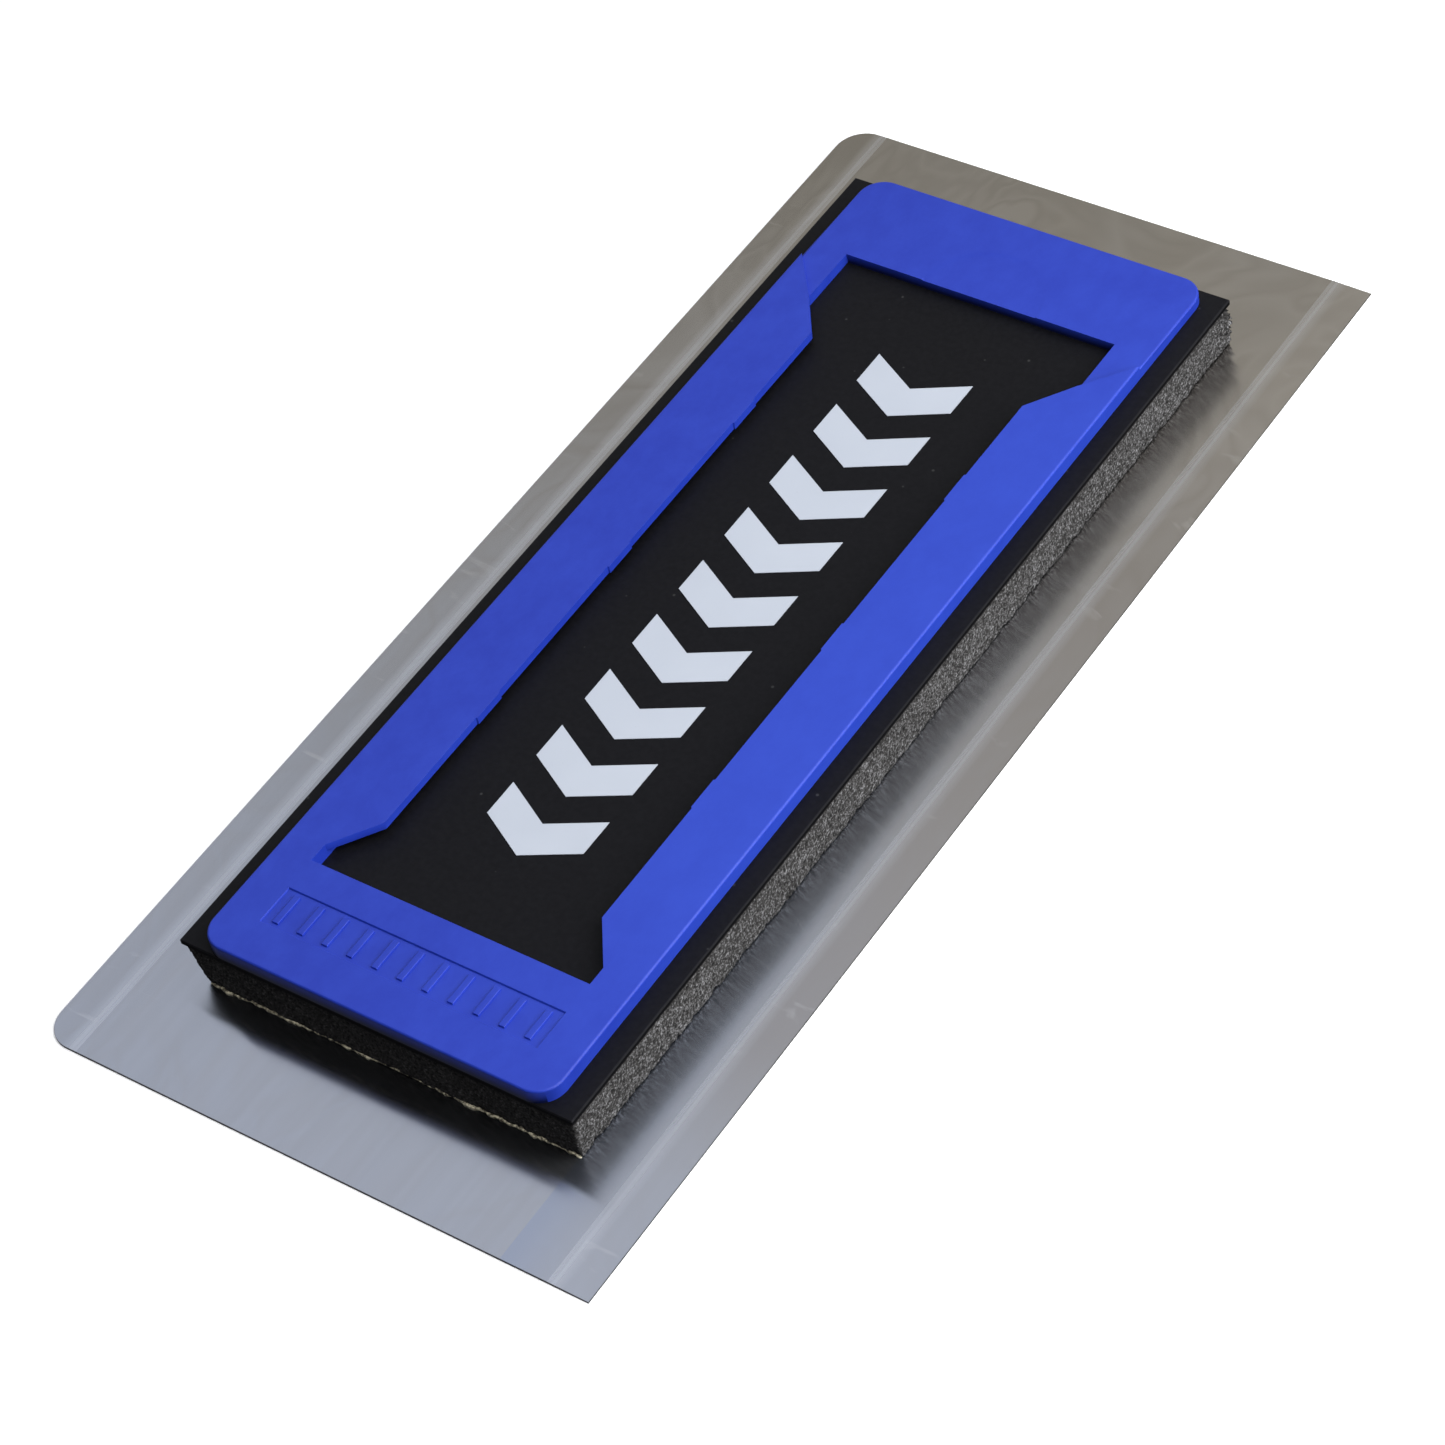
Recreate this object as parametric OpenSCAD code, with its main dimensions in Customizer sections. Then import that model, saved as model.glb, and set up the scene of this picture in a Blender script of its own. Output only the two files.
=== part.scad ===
// Quick-fit trowel head: a thin flexible blade with a foam cushion, a backing
// plate and a moulded frame that a handle shoe drops into and slides under.
//
// Origin: centre of the blade's working (under) face.
// +X across the blade, towards its square-cornered long edge.
// +Y along the blade, towards the end where the handle shoe drops in.
// +Z up, from the working face to the handle side.

/* [Blade] */
// Length of the blade
blade_l = 280; // [240:1:360]
// Width of the blade
blade_w = 127; // [100:1:160]
// Thickness of the blade
blade_t = 0.5; // [0.4:0.05:1]
// Radius of the two rounded corners, both on the -X edge
blade_corner_r = 6.5; // [1:0.5:12]
// Width of the ground strip along each long edge
ground_w = 8; // [2:0.5:10]
// How much thinner the ground strip is at the very edge
ground_drop = 0.15; // [0.05:0.05:0.3]

/* [Cushion] */
// Thickness of the foam
foam_t = 10; // [4:0.5:16]
// How far the foam stays inside the edge of the backing plate
foam_inset = 0.2; // [0:0.1:3]
// Thickness of each adhesive layer
adhesive_t = 0.2; // [0.1:0.05:0.5]
// How far each adhesive layer stays inside the edge of the foam
adhesive_inset = 0.6; // [0.2:0.1:5]

/* [Backing plate] */
// Length of the plate
plate_l = 231.5; // [231.5:0.5:240]
// Width of the plate
plate_w = 90.5; // [82:0.5:98]
// Thickness of the plate
plate_t = 1.1; // [1:0.1:4]
// Chamfer around the top of the plate
plate_chamfer = 0.2; // [0.1:0.1:0.8]

/* [Frame] */
// Length of the frame
frame_l = 231.5; // [225:0.5:231.5]
// Width of the frame
frame_w = 81; // [76:0.5:82]
// Height of the rails and of the closed end's bar
rail_h = 3.3; // [2.9:0.1:5]
// Height of the bar at the entry end
entry_bar_h = 2.3; // [1.9:0.1:2.6]
// Radius of the frame's four outer corners
frame_corner_r = 5.5; // [3:0.5:15]
// Rounding of the frame's outer top edge
frame_edge_r = 0.9; // [0.2:0.1:1]
// Depth of the bar at the closed end
closed_bar = 25; // [20:0.5:28]
// Depth of the bar at the entry end
entry_bar = 23; // [18:0.5:26]

/* [Shoe slot] */
// Width between the two lips that hold the handle shoe down
slot_w = 50.4; // [44:0.2:58]
// Width of the channel under the lips, and of the pockets at both ends
channel_w = 64.4; // [60:0.2:66]
// Thickness of the lips
lip_t = 1.8; // [1.2:0.1:2]
// Straight length of the pocket at the entry end
entry_pocket = 14.2; // [8:0.2:30]
// Straight length of the pocket at the closed end
closed_pocket = 4.2; // [1:0.2:12]
// Length over which each lip slants out to the channel's width
slant_run = 9.5; // [4:0.5:14]
// Length over which the raised rails slant away outside the pocket
step_run = 10; // [4:0.5:12]

/* [Frame details] */
// Number of small nibs along the edge of each lip
nib_count = 3; // [1:1:5]
// Distance from one nib to the next
nib_pitch = 44; // [20:1:44]
// Length of a nib
nib_l = 8; // [2:0.5:12]
// How far a nib stands out of the lip
nib_h = 0.3; // [0.1:0.1:0.5]
// Length of the sunk panel in the closed end's bar
panel_l = 64; // [30:1:66]
// Width of the sunk panel
panel_w = 9; // [5:0.5:14]
// How far the panel sits from the middle of its bar, towards the slot
panel_shift = 0.8; // [0:0.1:2]
// Depth of the sunk panel
panel_depth = 0.4; // [0.2:0.1:0.8]
// Number of raised ribs in the panel
rib_count = 11; // [3:1:15]
// Width of a rib
rib_w = 1.4; // [0.6:0.2:1.8]
// Radius of the half-round thumb scallop in the entry bar
scallop_r = 13.7; // [6:0.1:16]
// Depth of the scallop
scallop_depth = 0.2; // [0.1:0.05:0.5]

/* [Stakes] */
// Radius of the stakes that hold the frame to the plate
stake_r = 1.8; // [1:0.1:2.4]
// Radius of a stake's flattened head
stake_head_r = 2.8; // [2.6:0.1:3.4]
// Clearance between a stake and its hole
stake_gap = 0.05; // [0.02:0.01:0.1]

/* [Marking] */
// Number of printed chevrons
chevron_count = 9; // [3:1:10]
// Distance from one chevron to the next
chevron_pitch = 16; // [12:0.2:16.6]
// Width of a chevron across the slot
chevron_w = 22.4; // [10:0.2:40]
// How far a chevron's point runs ahead of its ends
chevron_point = 6; // [2:0.5:12]
// Thickness of a chevron's bars, along the slot
chevron_bar = 8.5; // [3:0.5:10]
// Thickness of the printed layer
ink_t = 0.1; // [0.05:0.05:0.2]

/* [Hidden] */
$fn = 96;

// A cutter reaches this far past the face that it cuts through
over = 1;

// Heights of the layers, from the working face up
foam_z = blade_t + adhesive_t;
top_adhesive_z = foam_z + foam_t;
plate_z = top_adhesive_z + adhesive_t;
frame_z = plate_z + plate_t;

foam_w = plate_w - 2 * foam_inset;
foam_l = plate_l - 2 * foam_inset;
adhesive_w = foam_w - 2 * adhesive_inset;
adhesive_l = foam_l - 2 * adhesive_inset;

// Half sizes and stations of the frame's slot
frame_x = frame_w / 2;
slot_x = slot_w / 2;
channel_x = channel_w / 2;
slot_near = closed_bar - frame_l / 2;
slot_far = frame_l / 2 - entry_bar;
closed_slant = slot_near + closed_pocket;
entry_slant = slot_far - entry_pocket;
slot_l = slot_far - slot_near;
channel_h = rail_h - lip_t;

closed_bar_y = slot_near - closed_bar / 2;
panel_y = closed_bar_y + panel_shift;
entry_bar_y = slot_far + entry_bar / 2;
rail_x = (channel_x + frame_x) / 2;

// Ribs are spread evenly over the panel and stop short of its long sides
rib_pitch = panel_l / rib_count;
rib_l = panel_w - 2;

// Heads of the stakes fill the lower part of the plate's holes
stake_head_h = plate_t / 2;
rail_stakes = [-75, -25, 25, 75];
bar_stakes = [-20, 20];
stake_places = concat(
    [for (x = [-rail_x, rail_x], y = rail_stakes) [x, y]],
    [for (x = bar_stakes, y = [closed_bar_y, entry_bar_y]) [x, y]]);

// A rectangle on the origin with four round corners
module rounded_rect(w, l, r) {
    square([w - 2 * r, l], center = true);
    square([w, l - 2 * r], center = true);
    for (x = [-1, 1], y = [-1, 1])
        translate([x * (w / 2 - r), y * (l / 2 - r)]) circle(r);
}

// A slab with round corners whose top edge is rounded all the way around
module rounded_slab(w, l, h, corner, edge) {
    linear_extrude(h - edge) rounded_rect(w, l, corner);
    linear_extrude(h) rounded_rect(w - 2 * edge, l - 2 * edge, corner - edge);
    for (x = [-1, 1])
        translate([x * (w / 2 - edge), 0, h - edge]) rotate([90, 0, 0])
            cylinder(h = l - 2 * corner, r = edge, center = true);
    for (y = [-1, 1])
        translate([0, y * (l / 2 - edge), h - edge]) rotate([0, 90, 0])
            cylinder(h = w - 2 * corner, r = edge, center = true);
    for (x = [-1, 1], y = [-1, 1])
        translate([x * (w / 2 - corner), y * (l / 2 - corner), h - edge])
            rotate_extrude() translate([corner - edge, 0]) circle(edge);
}

// The blade seen from above: two round corners at -X, two square ones at +X
module blade_outline() {
    translate([-blade_w / 2 + blade_corner_r, -blade_l / 2])
        square([blade_w - blade_corner_r, blade_l]);
    translate([-blade_w / 2, -blade_l / 2 + blade_corner_r])
        square([2 * blade_corner_r, blade_l - 2 * blade_corner_r]);
    for (y = [-1, 1])
        translate([-blade_w / 2 + blade_corner_r, y * (blade_l / 2 - blade_corner_r)])
            circle(blade_corner_r);
}

// The blade seen from its end: flat below, ground down along both long edges
module blade_section() {
    edge_t = blade_t - ground_drop;
    polygon([[-blade_w / 2, 0], [blade_w / 2, 0], [blade_w / 2, edge_t],
             [blade_w / 2 - ground_w, blade_t], [-blade_w / 2 + ground_w, blade_t],
             [-blade_w / 2, edge_t]]);
}

module steel_blade() {
    color([0.62, 0.63, 0.64])
        intersection() {
            linear_extrude(blade_t) blade_outline();
            rotate([90, 0, 0]) linear_extrude(blade_l, center = true) blade_section();
        }
}

// One bonding layer, with its underside at height z
module adhesive_layer(z) {
    color([0.72, 0.68, 0.5])
        translate([0, 0, z]) linear_extrude(adhesive_t)
            square([adhesive_w, adhesive_l], center = true);
}

module blade_adhesive() {
    adhesive_layer(blade_t);
}

module plate_adhesive() {
    adhesive_layer(top_adhesive_z);
}

module foam_pad() {
    color([0.26, 0.26, 0.27])
        translate([0, 0, foam_z]) linear_extrude(foam_t)
            square([foam_w, foam_l], center = true);
}

// End view of the plate, with chamfered top edges, for a side of the given width
module plate_section(width) {
    half = width / 2;
    shoulder = plate_t - plate_chamfer;
    polygon([[-half, 0], [half, 0], [half, shoulder], [half - plate_chamfer, plate_t],
             [plate_chamfer - half, plate_t], [-half, shoulder]]);
}

// A stake or its hole, from the plate's underside up; gap widens it all around
module stake(gap, top) {
    rotate_extrude()
        polygon([[0, 0], [stake_head_r + gap, 0], [stake_r + gap, stake_head_h],
                 [stake_r + gap, top], [0, top]]);
}

module backing_plate() {
    color([0.1, 0.1, 0.11])
        translate([0, 0, plate_z])
            difference() {
                intersection() {
                    rotate([90, 0, 0]) linear_extrude(plate_l, center = true)
                        plate_section(plate_w);
                    rotate([90, 0, 90]) linear_extrude(plate_w, center = true)
                        plate_section(plate_l);
                }
                for (p = stake_places)
                    translate([p[0], p[1], 0]) stake(stake_gap, plate_t + over);
            }
}

// The raised part seen from above: closed bar and rails, slanting away outside
// the entry pocket
module raised_area() {
    polygon([[-frame_w, -frame_l], [frame_w, -frame_l],
             [frame_w, entry_slant + step_run * (frame_w - channel_x) / (frame_x - channel_x)],
             [channel_x, entry_slant], [-channel_x, entry_slant],
             [-frame_w, entry_slant + step_run * (frame_w - channel_x) / (frame_x - channel_x)]]);
}

// The slot seen from above: narrow between the lips, wide in both end pockets
module slot_outline() {
    polygon([[-channel_x, slot_near], [channel_x, slot_near],
             [channel_x, closed_slant], [slot_x, closed_slant + slant_run],
             [slot_x, entry_slant - slant_run], [channel_x, entry_slant],
             [channel_x, slot_far], [-channel_x, slot_far],
             [-channel_x, entry_slant], [-slot_x, entry_slant - slant_run],
             [-slot_x, closed_slant + slant_run], [-channel_x, closed_slant]]);
}

// Frame with solid rails and bars, resting on z = 0, before its slot is cut
module frame_blank() {
    rounded_slab(frame_w, frame_l, entry_bar_h, frame_corner_r, frame_edge_r);
    intersection() {
        rounded_slab(frame_w, frame_l, rail_h, frame_corner_r, frame_edge_r);
        linear_extrude(rail_h + over) raised_area();
    }
}

// Raised ribs across the sunk panel
module panel_ribs() {
    for (i = [0 : rib_count - 1])
        translate([(i - (rib_count - 1) / 2) * rib_pitch, panel_y, rail_h - 2 * panel_depth])
            linear_extrude(2 * panel_depth) square([rib_w, rib_l], center = true);
}

// Small nibs on the edge of both lips, seen from above
module nibs() {
    for (side = [-1, 1], i = [0 : nib_count - 1])
        translate([side * slot_x, (i - (nib_count - 1) / 2) * nib_pitch, channel_h])
            linear_extrude(lip_t) square([2 * nib_h, nib_l], center = true);
}

module quick_fit_frame() {
    color([0.19, 0.26, 0.75])
        translate([0, 0, frame_z]) {
            difference() {
                frame_blank();
                translate([0, 0, -over]) linear_extrude(rail_h + 2 * over) slot_outline();
                translate([-channel_x, slot_near, -over]) cube([channel_w, slot_l, channel_h + over]);
                translate([0, panel_y, rail_h - panel_depth])
                    linear_extrude(panel_depth + over) square([panel_l, panel_w], center = true);
                translate([0, slot_far, entry_bar_h - scallop_depth])
                    cylinder(h = scallop_depth + over, r = scallop_r);
            }
            panel_ribs();
            nibs();
            for (p = stake_places)
                translate([p[0], p[1], -plate_t]) stake(0, plate_t + over);
        }
}

// One chevron, pointing the way the handle shoe slides in
module chevron() {
    half = chevron_w / 2;
    polygon([[-half, 0], [0, -chevron_point], [half, 0], [half, chevron_bar],
             [0, chevron_bar - chevron_point], [-half, chevron_bar]]);
}

module printed_marking() {
    middle_y = (slot_near + slot_far) / 2 - (chevron_bar - chevron_point) / 2;
    color([0.86, 0.88, 0.92])
        for (i = [0 : chevron_count - 1])
            translate([0, middle_y + (i - (chevron_count - 1) / 2) * chevron_pitch, frame_z])
                linear_extrude(ink_t) chevron();
}

steel_blade();
blade_adhesive();
foam_pad();
plate_adhesive();
backing_plate();
quick_fit_frame();
printed_marking();
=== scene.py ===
import math

import bmesh
import bpy
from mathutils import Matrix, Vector, noise


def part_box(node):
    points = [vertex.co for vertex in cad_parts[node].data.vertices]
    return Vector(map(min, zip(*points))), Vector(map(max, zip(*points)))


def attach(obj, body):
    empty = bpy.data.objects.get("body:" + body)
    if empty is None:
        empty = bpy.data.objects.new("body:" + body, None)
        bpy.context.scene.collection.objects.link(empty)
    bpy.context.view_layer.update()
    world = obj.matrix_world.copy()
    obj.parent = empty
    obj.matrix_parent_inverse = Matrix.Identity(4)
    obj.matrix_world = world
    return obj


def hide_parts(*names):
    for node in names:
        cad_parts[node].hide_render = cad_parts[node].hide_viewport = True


MM = 0.001
SAME = 0.01 * MM            # two measures closer than this are taken as equal
NEAR = 0.1 * MM             # an edge this close to an outline belongs to it
OVERSHOOT = 0.5 * MM        # how far a cutting solid reaches past what it cuts
FLAT_ANGLE = 0.5            # degrees; faces that meet flatter than this become one
CREASE_ANGLE = 25           # degrees; only edges sharper than this are rounded
HARD_ANGLE = 35             # degrees; edges sharper than this stay hard when shaded

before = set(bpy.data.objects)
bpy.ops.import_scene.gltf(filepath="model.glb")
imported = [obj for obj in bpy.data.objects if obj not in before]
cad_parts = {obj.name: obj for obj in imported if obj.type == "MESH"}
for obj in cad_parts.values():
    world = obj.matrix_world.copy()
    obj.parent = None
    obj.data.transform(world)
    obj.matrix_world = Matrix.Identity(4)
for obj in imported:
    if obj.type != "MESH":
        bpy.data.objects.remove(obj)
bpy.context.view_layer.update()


# ---------------------------------------------------------------- places from the CAD frame

blade_low, blade_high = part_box("steel_blade")
foam_low, foam_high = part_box("foam_pad")
plate_low, plate_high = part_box("backing_plate")
_, moulding_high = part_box("quick_fit_frame")

# The moulding's dimensions, as the CAD source has them, and the roundings and drafts added here
ENTRY_BAR_STEP = 1.0 * MM
LIP = 1.8 * MM
CORNER_R = 5.5 * MM
CORNER_STEPS = 16
EDGE_R = 1.15 * MM
SOFT_EDGE_R = 0.6 * MM
INSIDE = 1.5 * MM
CLOSED_BAR = 25 * MM
ENTRY_BAR = 23 * MM
SLOT_X = 25.2 * MM
CHANNEL_X = 32.2 * MM
ENTRY_POCKET = 14.2 * MM
CLOSED_POCKET = 4.2 * MM
SLANT_RUN = 9.5 * MM
STEP_RUN = 10 * MM
PANEL = (64 * MM, 9 * MM)
PANEL_SHIFT = 0.8 * MM
PANEL_DEPTH = 0.4 * MM
PANEL_DRAFT = 0.15 * MM
PANEL_EDGE_R = 0.12 * MM
RIBS = 11
RIB_W = 1.4 * MM
RIB_GAP = 1 * MM
NIB_PITCH = 44 * MM
NIB_L = 8 * MM
NIB_H = 0.3 * MM
SCALLOP_R = 13.7 * MM
SCALLOP_DEPTH = 0.2 * MM
SCALLOP_DRAFT = 0.3 * MM
SCALLOP_STEPS = 96
GATE = (4.1 * MM, 103.3 * MM)
GATE_R = 0.7 * MM
GATE_DEPTH = 0.1 * MM
GATE_STEPS = 20

# The blade's ground edges and corners, and the plate's broken edges
GROUND_W = 8 * MM
GROUND_DROP = 0.15 * MM
BLADE_CORNER_R = 6.5 * MM
BLADE_CORNER_STEPS = 14
BLADE_EDGE_R = 0.08 * MM
PLATE_EDGE_R = 0.18 * MM
PLATE_CORNER_R = 0.2 * MM

# The foam's cut walls
FOAM_CORNER_R = 0.8 * MM
FOAM_STEP = 0.33 * MM
FOAM_ROWS = 26
FOAM_CAP_INSET = 6 * MM
CELL = 0.95 * MM
CELL_WALL = 1.6             # how fast a cell falls away from its wall
GRAIN = 1700                # noise cells in a metre: fine grain, ragged foot and slow waves
RAGGED = 420
WAVE = 90
PIT_DEPTH = 0.34 * MM
WALL_DEPTH = 0.12 * MM
WAVE_DEPTH = 0.15 * MM
GRAIN_DEPTH = 0.16 * MM
TOP_ROUND = 0.5 * MM
RAGGED_DEPTH = 0.8 * MM
UNDERCUT = 3.0 * MM
UNDERCUT_REACH = 14 * MM
END_SHADE = 0.42            # painted shade: how much darker the cells are made on the two end walls
TUFT_REACH = 8 * MM
TUFT_LENGTH = 3.4 * MM
PLATE_SHADOW_BAND = 1.1 * MM           # height of the painted shade band just under the plate

# The adhesive squeezed out at the near end
ADHESIVE_STEP = 0.5 * MM
ADHESIVE_INSET = 0.35 * MM
ADHESIVE_BACK = 0.9 * MM
THREAD_HEIGHT = 0.42 * MM
THREAD_REACH = 0.5 * MM

# The camera of the picture, and the stage
CAMERA_PLACE = (0.4076, -0.4350, 0.6189)
CAMERA_TURN = (42.29, 8.79, 34.16)
CAMERA_LENS = 109.76
CAMERA_SENSOR = 36
FLOOR_SIDE = 6.0
FLOOR_DROP = 0.05 * MM
KEY = {"place": (0.48, 0.08, 0.32), "size": (0.7, 0.6), "power": 6.1, "sheen": 3.4}
TOP = {"place": (0.6, -0.1, 1.9), "size": (1.5, 1.5), "power": 13, "sheen": 4}
DARK_CORNER = (-0.52, 0.62, 0.58)

base_z = plate_high.z
rail_z = moulding_high.z
entry_z = rail_z - ENTRY_BAR_STEP
half_x = moulding_high.x
half_y = moulding_high.y
slot_near = CLOSED_BAR - half_y
slot_far = half_y - ENTRY_BAR
closed_slant = slot_near + CLOSED_POCKET
entry_slant = slot_far - ENTRY_POCKET


# ---------------------------------------------------------------- mesh tools

def arc(cx, cy, r, start, end, steps):
    """Points of an arc about (cx, cy), from one angle to another, in degrees."""
    angles = [math.radians(start + (end - start) * i / steps) for i in range(steps + 1)]
    return [(cx + r * math.cos(a), cy + r * math.sin(a)) for a in angles]


def add_object(name, mesh):
    """A new object of the scene around a mesh."""
    made = bpy.data.objects.new(name, mesh)
    bpy.context.scene.collection.objects.link(made)
    return made


def prism(outline, low, high, top=None):
    """A closed upright solid over an outline, or between two outlines, as a scratch object."""
    mesh = bpy.data.meshes.new("scratch")
    count = len(outline)
    points = [(x, y, low) for x, y in outline] + [(x, y, high) for x, y in top or outline]
    sides = [(i, (i + 1) % count, (i + 1) % count + count, i + count) for i in range(count)]
    caps = [tuple(reversed(range(count))), tuple(range(count, 2 * count))]
    mesh.from_pydata(points, [], sides + caps)
    return add_object("scratch", mesh)


def rectangle(x0, y0, x1, y1):
    """The corners of a rectangle, anticlockwise."""
    return [(x0, y0), (x1, y0), (x1, y1), (x0, y1)]


def settle(piece):
    """Makes the piece's modifiers real, so that the next step works on their result."""
    graph = bpy.context.evaluated_depsgraph_get()
    made = bpy.data.meshes.new_from_object(piece.evaluated_get(graph))
    piece.modifiers.clear()
    piece.data = made


def combine(piece, other, operation):
    """Adds a scratch object to the piece, or cuts it out, and removes the scratch object."""
    step = piece.modifiers.new("combine", "BOOLEAN")
    step.operation = operation
    step.solver = "EXACT"
    step.object = other
    settle(piece)
    bpy.data.objects.remove(other)


def bevel_edges(piece, wanted, width, segments):
    """Rounds the creases that the test accepts."""
    work = bmesh.new()
    work.from_mesh(piece.data)
    bmesh.ops.dissolve_limit(work, angle_limit=math.radians(FLAT_ANGLE),
                             verts=work.verts, edges=work.edges)
    work.normal_update()
    chosen = []
    for e in work.edges:
        if len(e.link_faces) == 2 and e.calc_face_angle(0) > math.radians(CREASE_ANGLE) and wanted(e):
            chosen.append(e)
    bmesh.ops.bevel(work, geom=chosen, offset=width, segments=segments, profile=0.5,
                    affect="EDGES", clamp_overlap=True)
    work.to_mesh(piece.data)
    work.free()


def is_flat(edge):
    return abs(edge.verts[0].co.z - edge.verts[1].co.z) < SAME


def is_upright(edge):
    return abs(edge.verts[0].co.z - edge.verts[1].co.z) > OVERSHOOT


def middle_of(edge):
    return (edge.verts[0].co + edge.verts[1].co) / 2


def smooth(piece):
    """Smooth shading that keeps flat faces flat and hard edges hard."""
    piece.data.shade_smooth()
    piece.data.set_sharp_from_angle(angle=math.radians(HARD_ANGLE))
    weighted = piece.modifiers.new("weighted normals", "WEIGHTED_NORMAL")
    weighted.keep_sharp = True


def paint(piece, material):
    piece.data.materials.clear()
    piece.data.materials.append(material)


def dress(piece, name, material, slot, *nodes):
    """Names a finished piece, gives it its material and ties it to the frame."""
    piece.name = name
    piece.data.name = name
    paint(piece, material)
    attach(piece, "root")
    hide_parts(*nodes)
    return piece


# ---------------------------------------------------------------- material tools

def fill_ramp(node, stops):
    """Gives a colour ramp its stops; each is (place, colour), or (place, grey)."""
    elements = node.color_ramp.elements
    while len(elements) < len(stops):
        elements.new(0.5)
    for element, (where, colour) in zip(elements, stops):
        if isinstance(colour, (int, float)):
            colour = (colour, colour, colour)
        element.position = where
        element.color = (*colour, 1)


class Nodes:
    """A short way to write a node material."""

    def __init__(self, name):
        self.material = bpy.data.materials.new(name)
        self.material.use_nodes = True
        self.tree = self.material.node_tree
        self.surface = self.tree.nodes["Principled BSDF"]
        self.place = self.add("ShaderNodeTexCoord").outputs["Object"]

    def add(self, kind, **settings):
        node = self.tree.nodes.new(kind)
        for key, value in settings.items():
            setattr(node, key, value)
        return node

    def link(self, a, b):
        self.tree.links.new(a, b)

    def scaled(self, x, y, z):
        """The object's own coordinates, in metres, times a factor along each axis."""
        node = self.add("ShaderNodeMapping")
        node.inputs["Scale"].default_value = (x, y, z)
        self.link(self.place, node.inputs["Vector"])
        return node.outputs["Vector"]

    def turned(self, x, y, degrees):
        """The object's coordinates turned about Z and then stretched, for marks that run one way."""
        node = self.add("ShaderNodeMapping")
        node.inputs["Rotation"].default_value = (0, 0, math.radians(degrees))
        node.inputs["Scale"].default_value = (x, y, x)
        self.link(self.place, node.inputs["Vector"])
        return node.outputs["Vector"]

    def axis(self, name):
        """One of the object's own coordinates, in metres."""
        node = self.add("ShaderNodeSeparateXYZ")
        self.link(self.place, node.inputs[0])
        return node.outputs[name]

    def noise(self, place, detail=3.0, rough=0.5, swirl=0.0):
        node = self.add("ShaderNodeTexNoise")
        node.inputs["Distortion"].default_value = swirl
        node.inputs["Scale"].default_value = 1.0
        node.inputs["Detail"].default_value = detail
        node.inputs["Roughness"].default_value = rough
        self.link(place, node.inputs["Vector"])
        return node.outputs["Fac"]

    def voronoi(self, place):
        node = self.add("ShaderNodeTexVoronoi", feature="F1")
        node.inputs["Scale"].default_value = 1.0
        self.link(place, node.inputs["Vector"])
        return node.outputs["Distance"]

    def ramp(self, value, *stops):
        node = self.add("ShaderNodeValToRGB")
        fill_ramp(node, stops)
        self.link(value, node.inputs["Fac"])
        return node.outputs["Color"]

    def mix(self, factor, a, b, blend="MIX"):
        """a and b mixed; each is a socket or a colour, and factor a socket or a number."""
        node = self.add("ShaderNodeMix", data_type="RGBA", blend_type=blend)
        if isinstance(factor, (int, float)):
            node.inputs["Factor"].default_value = factor
        else:
            self.link(factor, node.inputs["Factor"])
        for socket, value in ((node.inputs["A"], a), (node.inputs["B"], b)):
            target = next(s for s in node.inputs if s.identifier == socket.identifier[:1] + "_Color")
            if isinstance(value, tuple):
                target.default_value = (*value, 1)
            else:
                self.link(value, target)
        return next(s for s in node.outputs if s.identifier == "Result_Color")

    def math(self, operation, a, b=None):
        """A sum on one or two values; each is a socket or a number."""
        node = self.add("ShaderNodeMath", operation=operation)
        for socket, value in zip(node.inputs, (a, b)):
            if value is None:
                continue
            if isinstance(value, (int, float)):
                socket.default_value = value
            else:
                self.link(value, socket)
        return node.outputs[0]

    def bump(self, height, depth, strength=1.0, before=None):
        """Surface relief of the given depth in metres."""
        node = self.add("ShaderNodeBump")
        node.inputs["Distance"].default_value = depth
        node.inputs["Strength"].default_value = strength
        self.link(height, node.inputs["Height"])
        if before is not None:
            self.link(before, node.inputs["Normal"])
        self.link(node.outputs["Normal"], self.surface.inputs["Normal"])
        return node.outputs["Normal"]

    def set(self, **values):
        """Sets the shader's own sockets; an underscore in a name stands for a space."""
        for key, value in values.items():
            socket = self.surface.inputs[key.replace("_", " ")]
            if isinstance(value, bpy.types.NodeSocket):
                self.link(value, socket)
            elif isinstance(value, tuple):
                socket.default_value = (*value, 1)
            else:
                socket.default_value = value


# ---------------------------------------------------------------- materials

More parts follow.
